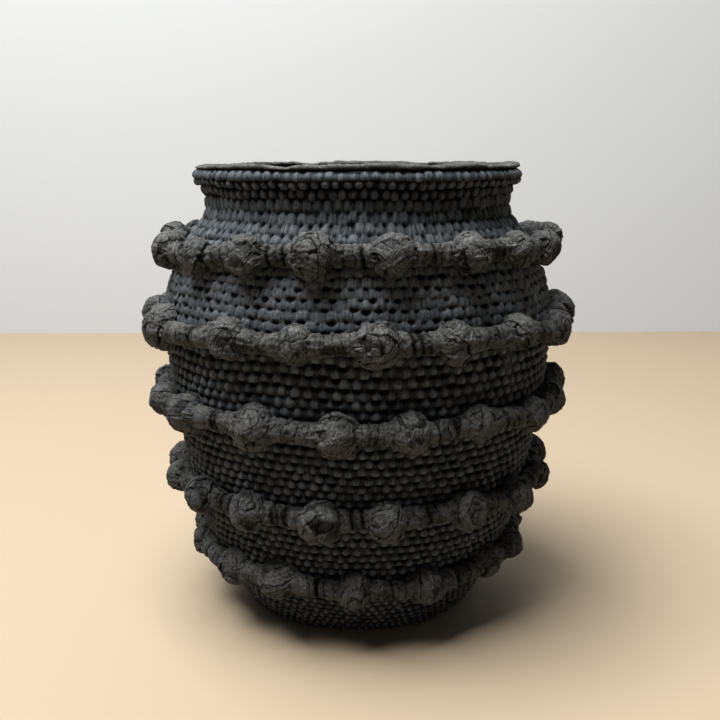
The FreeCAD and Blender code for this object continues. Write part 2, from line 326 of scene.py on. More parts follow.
def skin_zone(name, low, high, band, row_pitch, seed, material):
    """One closed band of skin between two heights, its outside woven."""
    z_line = np.linspace(low, high, 400)
    strides = np.hypot(np.diff(z_line), np.diff(skin_radius(z_line)))
    length = np.concatenate([[0], np.cumsum(strides)])
    bump_rows = round(length[-1] / row_pitch)
    from_top = [min(bump_rows - 1 - row, len(band) - 1) for row in range(bump_rows)]
    styles = np.array([band[place_in_band] for place_in_band in from_top])
    rows = bump_rows * STEPS_PER_ROW + 1
    columns = BUMPS_ROUND * STEPS_PER_BUMP
    z = np.interp(np.linspace(0, length[-1], rows), length, z_line)
    azimuth = full_turn(columns)

    z_flat = np.repeat(z, columns)
    turn = np.tile(azimuth, rows)
    u_flat = np.tile(np.arange(columns) / STEPS_PER_BUMP, rows)
    v_flat = np.repeat(np.linspace(0, bump_rows, rows), columns)
    radius = skin_radius(z_flat)
    slope = skin_slope(z_flat)
    level = 1 / np.hypot(1, slope)
    upright = -slope * level
    spot = around_axis(radius, turn, z_flat)

    # The cloth lies a little unevenly: its rows wander, and clay fills some of its pits.
    drift = noise(spot / (34 * MM), seed + 6)
    wander = noise(spot / (26 * MM), seed + 5)
    near_top = smooth_step(v_flat, bump_rows - 2, bump_rows) if high >= SKIN_Z[-1] else 0.0
    u_flat = u_flat + 0.25 * drift
    v_flat = v_flat + 0.30 * wander * (1 - near_top)
    relief = weave(u_flat, v_flat, styles, seed)
    filling = smooth_step(rough_noise(spot / (14 * MM), seed + 7), 0.2, 1.4) * 0.5
    relief = np.maximum(relief, filling)
    grain = rough_noise(spot / (0.9 * MM), seed + 8, octaves=2)
    dents = noise(spot / (3.0 * MM), seed + 10)
    lumps = noise(spot / (22 * MM), seed + 9)
    depth = (relief - 1) * BUMP_DEPTH * (1 - 0.45 * near_top) + BUMP_CREST
    depth = depth + grain * 0.045 * MM + dents * 0.08 * MM + lumps * 0.25 * MM
    reach = radius + depth * level
    outside = around_axis(reach, turn, z_flat + depth * upright)
    outside[:, 2] = np.clip(outside[:, 2], SKIN_Z[0], SKIN_Z[-1])

    inner_rows = 4
    inner_z = np.linspace(high, low, inner_rows)
    inner_r = skin_radius(inner_z) - SKIN_THICKNESS
    inner = around_axis(np.repeat(inner_r, columns), np.tile(azimuth, inner_rows),
                        np.repeat(inner_z, columns))
    inner_relief = np.full(len(inner), 0.3)
    faces = [grid_faces(rows + inner_rows, columns), closing_faces(rows + inner_rows, columns)]
    # The relief also sets painted shade: pits and the ground between bumps take the dark colour.
    piece = build_mesh(name, np.concatenate([outside, inner]), faces,
                       {"relief": np.concatenate([relief, inner_relief])})
    return place(piece, "woven_skin", material)


# ---------------------------------------------------------------------------
# Strands: where the CAD balls are
# ---------------------------------------------------------------------------

def azimuth_of(points):
    """Azimuth of each point."""
    return np.arctan2(points[:, 0], -points[:, 1])


def fitted_sphere(points):
    """Centre and radius of the sphere that passes nearest to some points."""
    table = np.column_stack([2 * points, np.ones(len(points))])
    answer, *_ = np.linalg.lstsq(table, (points ** 2).sum(1), rcond=None)
    centre = answer[:3]
    return centre, math.sqrt(answer[3] + centre @ centre)


def strand_balls(strand):
    """Every ball of one strand, sorted by azimuth from the front round to the right."""
    balls = []
    for index, quarter in enumerate(QUARTERS):
        points = node_points("%s_balls_%s" % (strand, quarter))
        middle = math.radians(45 + 90 * index)
        turn = (azimuth_of(points) - middle + math.pi) % FULL_TURN - math.pi
        order = np.argsort(turn)
        cuts = np.flatnonzero(np.diff(turn[order]) > math.radians(3)) + 1
        for group in np.split(order, cuts):
            centre, radius = fitted_sphere(points[group])
            balls.append({
                "azimuth": math.atan2(centre[0], -centre[1]) % FULL_TURN,
                "centre": centre, "radius": radius, "quarter": quarter,
            })
    return sorted(balls, key=lambda ball: ball["azimuth"])


def local_axes(azimuth, z):
    """Outward, tangent and upward directions of the skin at azimuths and heights."""
    slope = skin_slope(z)
    level = 1 / np.hypot(1, slope)
    outward = around_axis(level, azimuth, -slope * level)
    tangent = np.stack([np.cos(azimuth), np.sin(azimuth), np.zeros_like(azimuth)], -1)
    return outward, tangent, np.cross(outward, tangent)


def unit(vectors):
    """The same directions at length 1."""
    return vectors / np.linalg.norm(vectors, axis=-1, keepdims=True)


SUNK_IN_SKIN = 0.35 * MM    # how deep the flattened backs of balls and cords lie in the skin


def press_on_skin(vertices):
    """Flatten what would lie inside the skin."""
    radial = np.hypot(vertices[:, 0], vertices[:, 1])
    floor = skin_radius(vertices[:, 2]) - SUNK_IN_SKIN
    shrink = np.where(radial < floor, floor / radial, 1.0)
    vertices[:, :2] *= shrink[:, None]


def gathers(turn, folds_round, wobble):
    """Pleats from -1 to 1 that run into an end, side by side round it."""
    return 1 - 2 * np.abs(np.sin(turn * folds_round / 2 + wobble))


# ---------------------------------------------------------------------------
# Wrapped balls
# ---------------------------------------------------------------------------

BALL_AROUND = 140
BALL_ALONG = 88
USUAL_BALL_RADIUS = 7.5 * MM    # the relief is scaled for larger and smaller balls
MEAN_BALL_RELIEF = 0.42 * MM    # taken off, so that a ball keeps its CAD size
STRIP_THICKNESS = 0.42 * MM
FOLD_DEPTH = 0.42 * MM


def crumple(way, rng, count, strength, seed):
    """Height in metres, and closeness to a fold, of a sheet crumpled into tilted facets."""
    centres = unit(rng.normal(size=(count, 3)))
    warp = np.stack([noise(way * 3 + shift, seed) for shift in (0.0, 7.3, 15.1)], -1)
    warped = way + 0.13 * warp
    apart = np.linalg.norm(warped[:, None] - centres[None], axis=2) * rng.uniform(0.8, 1.2, count)
    order = np.argsort(apart, axis=1)[:, :2]
    near = np.take_along_axis(apart, order, 1)
    gap = (near[:, 1] - near[:, 0]) * math.sqrt(count / 20)
    rise = rng.uniform(-0.24, 0.24, count) * MM
    tilt = rng.normal(size=(count, 3)) * 0.75 * MM
    facets = rise + ((warped[:, None] - centres[None]) * tilt[None]).sum(2)
    own, other = np.take_along_axis(facets, order, 1).T
    blend = 0.5 + 0.5 * smooth_step(gap, 0.0, 0.05)
    pair = order[:, 0] + order[:, 1], order[:, 0] * order[:, 1], order[:, 0] * 0
    fold = np.exp(-(gap / 0.04) ** 2) * hashed(*pair, seed + 1)
    height = own * blend + other * (1 - blend) - FOLD_DEPTH * fold
    return height * strength, fold * strength


def strip(way, rng, seed):
    """Cover from 0 to 1, height in metres and edge of one strip of clay laid round a ball."""
    axis = unit(rng.normal(size=3))
    first = unit(np.cross(axis, rng.normal(size=3)))
    third = np.cross(axis, first)
    half = rng.uniform(0.16, 0.36)
    wobble = 0.08 * noise(way * 2.6, seed) + 0.025 * noise(way * 9, seed + 1)
    across = way @ axis - rng.uniform(-0.5, 0.5) + wobble
    around = np.arctan2(way @ third, way @ first)
    ends = smooth_step(rng.uniform(1.1, 2.4) - np.abs(around) + wobble * 2, 0.0, 0.07)
    from_edge = half - np.abs(across)
    cover = smooth_step(from_edge, 0.0, 0.035) * ends
    rolled = np.exp(-((from_edge - 0.05) / 0.04) ** 2) * rng.uniform(0.1, 0.9)
    lines = noise(np.stack([across * 30, around * 1.5, around * 0], -1), seed + 2)
    pleats = 1 - 2 * np.abs(noise(np.stack([across * 11, around * 2.0, around * 0], -1), seed + 3))
    layer = STRIP_THICKNESS * (0.7 + 0.5 * rolled) + 0.05 * MM * lines + 0.14 * MM * pleats
    return cover, layer, np.exp(-(from_edge / 0.03) ** 2) * ends


def laps(way, rng, seed):
    """Height in metres of thin folds that lap one another round a smooth cap, like an onion."""
    pole = unit(rng.normal(size=3) * 0.8 + [0, 1.0, -0.1])
    off = np.arccos(np.clip(way @ pole, -1, 1)) + 0.06 * noise(way * 3, seed)
    phase = off / rng.uniform(0.12, 0.20) + 0.7 * noise(way * 1.7, seed + 1)
    part = phase - np.floor(phase)
    profile = smooth_step(part, 0.0, 0.18) * (1 - 0.8 * part)
    cap = rng.uniform(0.25, 0.5)
    reach = rng.uniform(0.5, 1.5)
    shown = smooth_step(off, cap, cap + 0.04) * (1 - smooth_step(off, reach, reach + 0.15))
    shown = shown * smooth_step(noise(way * 1.4, seed + 2), -0.5, 0.1)
    inside_cap = 1 - smooth_step(off, cap - 0.05, cap)
    return profile * 0.34 * MM * shown, inside_cap


def wrapped_relief(way, rng, seed):
    """Height in metres, and depth of the nearest fold, of a ball wrapped in strips of clay."""
    height, fold = crumple(way, rng, rng.integers(14, 26), 1.0, seed)
    height = height + 0.28 * MM * noise(way * 1.7, seed + 5)
    fine_height, fine_fold = crumple(way, rng, 70, 0.42, seed + 7)
    for number in range(rng.integers(2, 5)):
        cover, layer, edge = strip(way, rng, seed + 60 + 10 * number)
        # A new strip bridges what lies under it, so the old relief shows through weaker.
        height = height * (1 - 0.5 * cover) + layer * cover
        fold = np.maximum(fold * (1 - 0.8 * cover), edge)
    lapped, cap = laps(way, rng, seed + 30)
    calm = cap * rng.uniform(0.3, 0.9)
    height = height * (1 - calm) + lapped + 0.25 * MM * calm
    height = height + fine_height * (1 - 0.5 * calm)
    # Fine lines all run much the same way, as in a sheet pulled tight.
    pull = unit(rng.normal(size=3))
    drawn = way + np.outer(way @ pull, pull) * 9
    lines = 1 - 2 * np.abs(noise(drawn * 1.5 + 0.5 * noise(way * 4, seed + 8)[:, None], seed + 9))
    height = height + 0.13 * MM * lines
    return height, np.maximum(fold * (1 - calm), np.maximum(fine_fold, 0.45 * (lines < -0.1)))


def ball_form(ball, rng, seed):
    """Vertices, faces and values of one wrapped ball, flat where it meets the skin."""
    outward, tangent, up = local_axes(ball["azimuth"], ball["centre"][2])
    along = np.linspace(0, math.pi, BALL_ALONG + 2)[1:-1]
    polar, spin = np.meshgrid(along, full_turn(BALL_AROUND), indexing="ij")
    polar, spin = polar.ravel(), spin.ravel()
    way = np.stack([np.cos(polar), np.sin(polar) * np.cos(spin), np.sin(polar) * np.sin(spin)], -1)
    way = np.concatenate([way, [[1.0, 0, 0], [-1.0, 0, 0]]])

    height, fold = wrapped_relief(way, rng, seed)
    # Where the cord goes in, the clay is gathered into small pleats.
    sideways = np.abs(way[:, 0])
    near_cord = smooth_step(sideways, 0.66, 0.90) * (1 - smooth_step(sideways, 0.97, 1.0))
    spin_all = np.arctan2(way[:, 2], way[:, 1])
    pleats = gathers(spin_all, rng.integers(7, 12), 1.6 * noise(way * 2.5, seed + 11))
    height = height + near_cord * pleats * 0.28 * MM
    # Some balls end in a flap pressed against the wall below.
    if rng.random() < 0.35:
        flap = smooth_step(-way[:, 2], 0.52, 0.56) * smooth_step(way[:, 1], -0.2, 0.3)
        flap = flap * smooth_step(noise(way * 1.5, seed + 13), -0.45, -0.2)
        height = height + flap * 0.75 * MM
    grain = rough_noise(way * ball["radius"] / (0.8 * MM), seed + 12, octaves=2)
    height = height + 0.04 * MM * grain

    scale = ball["radius"] / USUAL_BALL_RADIUS
    squash = np.array([rng.uniform(0.97, 1.05), 1.0, rng.uniform(0.95, 1.03)])
    reach = (ball["radius"] + (height - MEAN_BALL_RELIEF) * scale)[:, None] * way * squash
    vertices = ball["centre"] + reach @ np.stack([tangent, outward, up])
    press_on_skin(vertices)
    # Low parts and folds get lower values, for painted shade.
    tone_and_painted_shade = np.clip(0.74 + height / (1.6 * MM), 0.45, 1) * (1 - 0.85 * fold)
    return vertices, capped_tube_faces(BALL_ALONG, BALL_AROUND, flipped=True), {"relief": tone_and_painted_shade}


# ---------------------------------------------------------------------------
# Wound cords
# ---------------------------------------------------------------------------

CORD_RADIUS = 3.9 * MM
MEAN_CORD_RELIEF = 0.55 * MM    # taken off, so that a cord keeps its CAD size
CORD_AROUND = 72
CORD_STEP = 0.30 * MM


def cord_form(start, end, circle, rng, seed):
    """Vertices, faces and values of one length of wound cord from ball to ball."""
    turn_from, turn_to = start["azimuth"], end["azimuth"]
    if turn_to < turn_from:
        turn_to += FULL_TURN
    inset_from = 0.5 * start["radius"] / circle
    inset_to = 0.5 * end["radius"] / circle
    swept = turn_to - turn_from - inset_from - inset_to
    length = swept * circle
    rows = max(int(length / CORD_STEP), 12)
    share = np.linspace(0, 1, rows)
    azimuth = turn_from + inset_from + share * swept
    ease = smooth_step(share, 0, 1)
    z = start["centre"][2] * (1 - ease) + end["centre"][2] * ease
    z = z + rng.uniform(-0.6, 0.3) * MM * np.sin(math.pi * share)

    row, turn = np.meshgrid(np.arange(rows), full_turn(CORD_AROUND), indexing="ij")
    row, turn = row.ravel(), turn.ravel()
    travelled = share[row] * length
    outward, _, up = local_axes(azimuth, z)
    way = np.cos(turn)[:, None] * outward[row] + np.sin(turn)[:, None] * up[row]
    middle = around_axis(circle, azimuth, z)[row]
    spot = middle + way * CORD_RADIUS

    # A strip wound round the cord: each turn laps the one before it.
    pitch = rng.uniform(2.6, 4.4) * MM
    handed = rng.choice([-1, 1])
    wobble = 0.28 * noise(spot / (3.2 * MM), seed + 1) + 0.08 * noise(spot / (1.1 * MM), seed + 2)
    phase = travelled / pitch + handed * turn / FULL_TURN + wobble + rng.uniform(0, 1)
    lap = phase - np.floor(phase)
    step = smooth_step(lap, 0.0, 0.10) * (1 - 0.62 * lap)
    drawn = np.stack([travelled / (5 * MM), turn * 2.6, np.full(len(turn), 3.0)], -1)
    lengthwise = noise(drawn, seed + 3)
    creases = 1 - np.abs(rough_noise(spot / (2.0 * MM), seed + 4)) * 1.8
    grain = rough_noise(spot / (0.7 * MM), seed + 6, octaves=2)
    height = (0.40 * MM * step + 0.12 * MM * lengthwise + 0.26 * MM * creases + 0.06 * MM * grain
              + 0.38 * MM * noise(spot / (5 * MM), seed + 5))
    # Long folds run into each end, and here and there the cord is pinched.
    to_end = np.minimum(share[row], 1 - share[row]) * length
    pleats = gathers(turn, rng.integers(7, 11), 1.5 * noise(spot / (4 * MM), seed + 7))
    height = height + 0.22 * MM * pleats * (1 - smooth_step(to_end, 3 * MM, 7 * MM))
    for _ in range(rng.integers(0, 3)):
        off_pinch = travelled - rng.uniform(0.25, 0.75) * length + 0.5 * MM * np.sin(turn)
        height = height - 0.75 * MM * np.exp(-(off_pinch / (0.55 * MM)) ** 2)
    # The seam where the strip's long edge is pressed down, low on the cord.
    seam_turn = rng.uniform(3.6, 4.6) + 0.25 * np.sin(travelled / (3 * MM))
    off_seam = (turn - seam_turn + math.pi) % FULL_TURN - math.pi
    seam = 0.28 * MM * smooth_step(off_seam, -0.04, 0.04)
    height = height + seam * (1 - smooth_step(off_seam, 0.1, 1.4))
    # A collar of strip at each end, against the ball.
    for side in (share[row], 1 - share[row]):
        width = rng.uniform(0.18, 0.36) + 0.05 * noise(spot / (3 * MM), seed + 8)
        height = height + 0.34 * MM * (1 - smooth_step(side, width, width + 0.04))
    groove = np.exp(-(np.minimum(lap, 1 - lap) / 0.06) ** 2)
    reach = CORD_RADIUS - MEAN_CORD_RELIEF + height
    vertices = middle + way * reach[:, None]
    press_on_skin(vertices)
    vertices = np.concatenate([vertices, middle[:1], middle[-1:]])
    # Low parts and the grooves between laps get lower values, for painted shade.
    tone_and_painted_shade = np.clip(0.36 + height / (1.4 * MM) - 0.4 * groove, 0.18, 1)
    tip_relief = [0, 0]
    relief = np.concatenate([tone_and_painted_shade, tip_relief])
    return vertices, capped_tube_faces(rows, CORD_AROUND), {"relief": relief}


def quarter_of(azimuth):
    """Name of the quarter of the pot that an azimuth is in."""
    return QUARTERS[int((azimuth % FULL_TURN) // (math.pi / 2))]


def make_strand(number, ball_material, cord_material):
    """The balls and cords of one strand, one piece for each quarter, as in the CAD."""
    strand = "strand_%d" % number
    balls = strand_balls(strand)
    cord_points = np.concatenate([
        node_points("%s_cords_%s" % (strand, quarter)) for quarter in QUARTERS
    ])
    circle = np.hypot(cord_points[:, 0], cord_points[:, 1]).max() - CORD_RADIUS
    ball_parts = {quarter: Parts() for quarter in QUARTERS}
    cord_parts = {quarter: Parts() for quarter in QUARTERS}
    for index, ball in enumerate(balls):
        rng = np.random.default_rng(1000 * number + index)
        seed = 5000 * number + 40 * index
        ball_parts[ball["quarter"]].add(*ball_form(ball, rng, seed))
        after = balls[(index + 1) % len(balls)]
        gap = (after["azimuth"] - ball["azimuth"]) % FULL_TURN
        quarter = quarter_of(ball["azimuth"] + gap / 2)
        cord_parts[quarter].add(*cord_form(ball, after, circle, rng, seed + 20))
    for quarter in QUARTERS:
        name = "%s_balls_%s" % (strand, quarter)
        place(ball_parts[quarter].build(name + "_wrapped"), name, ball_material)
        name = "%s_cords_%s" % (strand, quarter)
        place(cord_parts[quarter].build(name + "_wound"), name, cord_material)


# ---------------------------------------------------------------------------
# Smooth clay: wall, slab and lip
# ---------------------------------------------------------------------------

CLAY_THICKNESS = 4.2 * MM
LIP_OVERHANG = 0.4 * MM     # past the skin's outside and past the wall's inside


def turned_piece(name, outline, columns, shape):
    """A closed ring turned from a closed outline of (radius, z) points.

    shape takes each vertex's point, radius, height and azimuth, and returns its new radius
    and height and its relief, which sets tone and painted shade.
    """
    radius, z = (np.repeat(side, columns) for side in np.asarray(outline).T)
    rows = len(outline)
    turn = np.tile(full_turn(columns), rows)
    radius, z, tone_and_painted_shade = shape(around_axis(radius, turn, z), radius, z, turn)
    faces = [grid_faces(rows, columns), closing_faces(rows, columns)]
    return build_mesh(name, around_axis(radius, turn, z), faces, {"relief": tone_and_painted_shade})


def inner_wall(material):
    """The smooth wall: wiped by hand inside, with faint rings from building it up in coils."""
    low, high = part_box("clay_wall")[0][2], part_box("clay_wall")[1][2]
    z_out = np.linspace(low, high, 120)
    outer = np.stack([skin_radius(z_out) - SKIN_THICKNESS, z_out], -1)
    inner = np.stack([skin_radius(z_out) - SKIN_THICKNESS - CLAY_THICKNESS, z_out], -1)[::-1]

    def shape(spot, radius, z, _):
        is_inside = radius < skin_radius(z) - SKIN_THICKNESS - 0.5 * CLAY_THICKNESS
        stretched = spot * [1 / (18 * MM), 1 / (18 * MM), 1 / (4 * MM)]
        wiped = noise(stretched, 71)
        scored = noise(spot * [1 / (9 * MM), 1 / (9 * MM), 1 / (0.9 * MM)], 72)
        coil_height = 11 * MM
        coils = np.sin(z / coil_height * FULL_TURN + 1.2 * noise(spot / (30 * MM), 73))
        grain = rough_noise(spot / (1.4 * MM), 74, octaves=2)
        depth = 0.30 * MM * wiped + 0.07 * MM * scored + 0.22 * MM * coils + 0.04 * MM * grain
        above_foot = smooth_step(z, low, low + 3 * MM)
        clear_of_ends = above_foot * (1 - smooth_step(z, high - 3 * MM, high))
        tone_and_painted_shade = np.clip(0.6 + 0.25 * wiped + 0.15 * scored, 0, 1)
        return radius + np.where(is_inside, depth * clear_of_ends, 0), z, tone_and_painted_shade

    piece = turned_piece("clay_wall_smoothed", np.concatenate([outer, inner]), 400, shape)
    return place(piece, "clay_wall", material)


def base_disc(material):
    """The slab: a disc with an eased foot, wiped underneath."""
    low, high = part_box("base_slab")
    foot = skin_radius(low[2]) - SKIN_THICKNESS
    rim = skin_radius(high[2]) - SKIN_THICKNESS
    side_z = np.linspace(low[2] + 0.8 * MM, high[2], 10)
    side_r = skin_radius(side_z) - SKIN_THICKNESS
    # Turned pieces need a hole at the axis, here one too small to see.
    hole = 0.6 * MM
    under = [(r, low[2]) for r in np.linspace(hole, foot - 1.4 * MM, 60)]
    foot_edge = [(foot - 0.7 * MM, low[2] + 0.1 * MM), (foot - 0.1 * MM, low[2] + 0.4 * MM)]
    top = [(r, high[2]) for r in np.linspace(rim - 0.4 * MM, hole, 60)]
    outline = under + foot_edge + list(zip(side_r, side_z)) + top

    def shape(spot, radius, z, _):
        wiped = rough_noise(spot / (14 * MM), 81)
        grain = rough_noise(spot / (1.2 * MM), 82, octaves=2)
        depth = 0.16 * MM * wiped + 0.05 * MM * grain
        inside_rim = 1 - smooth_step(radius, foot - 3 * MM, foot)
        upper = z > high[2] - 0.2 * MM
        z = np.where(upper, z + depth * 2 * inside_rim, z + np.maximum(depth, 0) * inside_rim)
        return radius, z, np.clip(0.6 + 0.4 * wiped, 0, 1)

    piece = turned_piece("base_slab_wiped", outline, 320, shape)
    return place(piece, "base_slab", material)


# Places where the lip is lower: azimuth and half width in degrees, depth in millimetres.
LIP_DIPS = [(-24, 5, 1.1), (25, 6, 0.7), (-76, 24, 1.5), (62, 16, 0.7), (112, 10, 0.5),
            (150, 8, 1.0), (200, 7, 0.8), (245, 12, 0.9)]


def lip(material):
    """The lip: a thin coil pressed down by hand, with a crumbly, wavy top."""
    low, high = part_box("lip_ring")
    outer = high[0]
    inner = outer - 2 * LIP_OVERHANG - SKIN_THICKNESS - CLAY_THICKNESS
    height = high[2] - low[2]
    middle = (outer + inner) / 2
    half_width = (outer - inner) / 2
    outline_steps = 52
    outline = []
    for step in range(outline_steps):
        angle = -math.pi / 2 + step * FULL_TURN / outline_steps
        across = math.copysign(abs(math.cos(angle)) ** 0.5, math.cos(angle))
        rise = math.copysign(abs(math.sin(angle)) ** 0.8, math.sin(angle))
        outline.append((middle + half_width * across, low[2] + height * (0.5 + 0.5 * rise)))

    def shape(spot, radius, z, turn):
        share = (z - low[2]) / height
        wave = 0.20 * MM * noise(spot / (16 * MM), 91)
        fingers = 0.34 * MM * noise(spot / (4.2 * MM), 95)
        dips = np.zeros(len(turn))
        for degrees, width, depth in LIP_DIPS:
            off = (np.degrees(turn) - degrees + 180) % 360 - 180
            dips += depth * MM * np.exp(-(off / width) ** 2)
        crumbs = rough_noise(spot / (1.7 * MM), 92)
        grain = rough_noise(spot / (0.8 * MM), 93, octaves=2)
        lift = share * (wave + fingers - dips - 0.30 * MM + 0.22 * MM * crumbs + 0.08 * MM * grain)
        # A pressed line runs round the lip, just above the skin.
        line = 0.35 * MM * np.exp(-((share - 0.10) / 0.12) ** 2)
        sway = 0.22 * MM * noise(spot / (7 * MM), 94) + 0.12 * MM * crumbs - 0.15 * MM - line
        # Lower values towards the lip's foot and in its crumbs: painted shade below, and a painted
        # lighter top.
        tone_and_painted_shade = np.clip(0.10 + 0.9 * share + 0.30 * crumbs, 0, 1)
        return radius + sway * np.sign(radius - middle), z + lift, tone_and_painted_shade

    piece = turned_piece("lip_ring_pressed", outline, 960, shape)
    return place(piece, "lip_ring", material)


# ---------------------------------------------------------------------------
# Materials
# ---------------------------------------------------------------------------

class Nodes:
    """A short way to write a node tree."""

    def __init__(self, name):
        self.material = bpy.data.materials.new(name)
        self.material.use_nodes = True
        self.tree = self.material.node_tree
        self.shader = self.tree.nodes["Principled BSDF"]
        self.place = self.add("ShaderNodeTexCoord").outputs["Object"]

    def add(self, kind, **settings):
        node = self.tree.nodes.new(kind)
        for key, value in settings.items():
            setattr(node, key, value)
        return node

    def link(self, source, socket):
        self.tree.links.new(source, socket)

    def noise(self, scale, detail=3.0, rough=0.55, distortion=0.0, vector=None):
        node = self.add("ShaderNodeTexNoise")
        node.inputs["Scale"].default_value = scale
        node.inputs["Detail"].default_value = detail
        node.inputs["Roughness"].default_value = rough
        node.inputs["Distortion"].default_value = distortion
        self.link(self.place if vector is None else vector, node.inputs["Vector"])
        return node.outputs["Fac"]

    def math(self, operation, first, second=0.0, clamp=False):
        node = self.add("ShaderNodeMath", operation=operation, use_clamp=clamp)
        for socket, value in zip(node.inputs, (first, second)):
            if isinstance(value, (int, float)):
                socket.default_value = value
            else:
                self.link(value, socket)
        return node.outputs[0]

    def ranged(self, value, low, high, to_low=0.0, to_high=1.0):
        node = self.add("ShaderNodeMapRange")
        node.inputs["From Min"].default_value = low
        node.inputs["From Max"].default_value = high
        node.inputs["To Min"].default_value = to_low
        node.inputs["To Max"].default_value = to_high
        self.link(value, node.inputs["Value"])
        return node.outputs["Result"]

    def mix(self, share, first, second):
        node = self.add("ShaderNodeMix", data_type="RGBA")
        self.link(share, node.inputs["Factor"])
        for socket, value in ((node.inputs[6], first), (node.inputs[7], second)):
            if isinstance(value, tuple):
                socket.default_value = (*value, 1.0)
            else:
                self.link(value, socket)
        return node.outputs[2]


def upward_share(nodes):
    """From 0 on what faces level or down to 1 on what faces straight up."""
    normal = nodes.add("ShaderNodeNewGeometry").outputs["Normal"]
    split = nodes.add("ShaderNodeSeparateXYZ")
    nodes.link(normal, split.inputs[0])
    return nodes.ranged(split.outputs["Z"], -0.1, 0.95)


def streaks(nodes, scale):
    """Noise drawn out up and down the wall, as yarns and wiping leave it."""
    split = nodes.add("ShaderNodeSeparateXYZ")
    nodes.link(nodes.place, split.inputs[0])
    backwards = nodes.math("MULTIPLY", split.outputs["Y"], -1.0)
    azimuth = nodes.math("ARCTAN2", split.outputs["X"], backwards)
    unrolled = nodes.add("ShaderNodeCombineXYZ")
    middle_radius, upright_share = 0.072, 0.16
    nodes.link(nodes.math("MULTIPLY", azimuth, middle_radius), unrolled.inputs["X"])
    nodes.link(nodes.math("MULTIPLY", split.outputs["Z"], upright_share), unrolled.inputs["Y"])
    return nodes.noise(scale, rough=0.5, vector=unrolled.outputs[0])


def wrinkles(nodes, scale):
    """From 0 on thin, wandering lines to 1 between them."""
    swirl = nodes.noise(scale, rough=0.5, distortion=1.6)
    off = nodes.math("ABSOLUTE", nodes.math("SUBTRACT", swirl, 0.5))
    return nodes.ranged(off, 0.0, 0.045)


# The colour of the painted glints on the lip.
GLINT_FLECK_COLOUR = (0.50, 0.50, 0.48)


def black_clay(name, dark, body, dust_and_highlight, dust_and_highlight_amount, rough, woven=False, glint_flecks=0.0):
    """Matt black clay: painted shade in its hollows, with a dry, dusty grey-brown coat on what
    faces up.

    woven gives it the streaks of yarn in place of wrinkles; the last argument is how strongly
    pale specks, painted glints, show on what faces up.
    """
    nodes = Nodes(name)
    relief = nodes.add("ShaderNodeAttribute", attribute_name="relief").outputs["Fac"]
    patches = nodes.noise(42, 3)
    mottle = nodes.noise(330, 4, 0.6)
    specks = nodes.noise(1500, 2, 0.7)
    pores = nodes.ranged(nodes.noise(1150, 4, 0.7), 0.36, 0.48, 0.35, 1.0)
    lines = nodes.ranged(streaks(nodes, 1500), 0.34, 0.50) if woven else wrinkles(nodes, 300)

    # Low relief takes the dark colour: painted shade in pits, hollows, folds and grooves.
    tone = nodes.mix(nodes.ranged(relief, 0.16, 0.88), dark, body)
    patchy = nodes.ranged(patches, 0.35, 0.65, 0.35, 1.0)
    mottled = nodes.ranged(mottle, 0.30, 0.70, 0.35, 1.0)
    # A coat on what faces up, stronger where relief is high: real dust, and on the crests a
    # painted highlight.
    dust_and_crest_highlight = nodes.math("MULTIPLY", upward_share(nodes), nodes.math("MULTIPLY", patchy, mottled))
    dust_and_crest_highlight = nodes.math("MULTIPLY", dust_and_crest_highlight, nodes.ranged(relief, 0.3, 0.9, 0.15, 1.0))
    dust_and_crest_highlight = nodes.math("MULTIPLY", dust_and_crest_highlight, dust_and_highlight_amount, clamp=True)
    tone = nodes.mix(dust_and_crest_highlight, tone, dust_and_highlight)
    tone = nodes.mix(nodes.ranged(specks, 0.64, 0.80, 0.0, 0.30), tone, dust_and_highlight)
    # Pores and fine lines take the dark colour: painted shade in tiny hollows.
    clear_of_fine_shade = nodes.math("MULTIPLY", pores, nodes.ranged(lines, 0.0, 1.0, 0.35, 1.0))
    tone = nodes.mix(clear_of_fine_shade, dark, tone)
    if glint_flecks:
        # Pale flecks on what faces up: painted glints.
        glint_spots = nodes.ranged(nodes.noise(900, 3, 0.6), 0.62, 0.68, 0.0, glint_flecks)
        tone = nodes.mix(nodes.math("MULTIPLY", glint_spots, upward_share(nodes)), tone, GLINT_FLECK_COLOUR)
    nodes.link(tone, nodes.shader.inputs["Base Color"])

    roughness = nodes.ranged(mottle, 0.25, 0.75, rough - 0.09, rough + 0.09)
    nodes.link(roughness, nodes.shader.inputs["Roughness"])
    sheen = nodes.ranged(relief, 0.25, 0.95, 0.02, 0.30)
    nodes.link(sheen, nodes.shader.inputs["Specular IOR Level"])

    grain = nodes.math("ADD", nodes.noise(1300, 5, 0.62), nodes.math("MULTIPLY", lines, 0.8))
    bump = nodes.add("ShaderNodeBump")
    bump.inputs["Strength"].default_value = 0.75
    bump.inputs["Distance"].default_value = 0.22 * MM
    nodes.link(grain, bump.inputs["Height"])
    nodes.link(bump.outputs["Normal"], nodes.shader.inputs["Normal"])
    return nodes.material


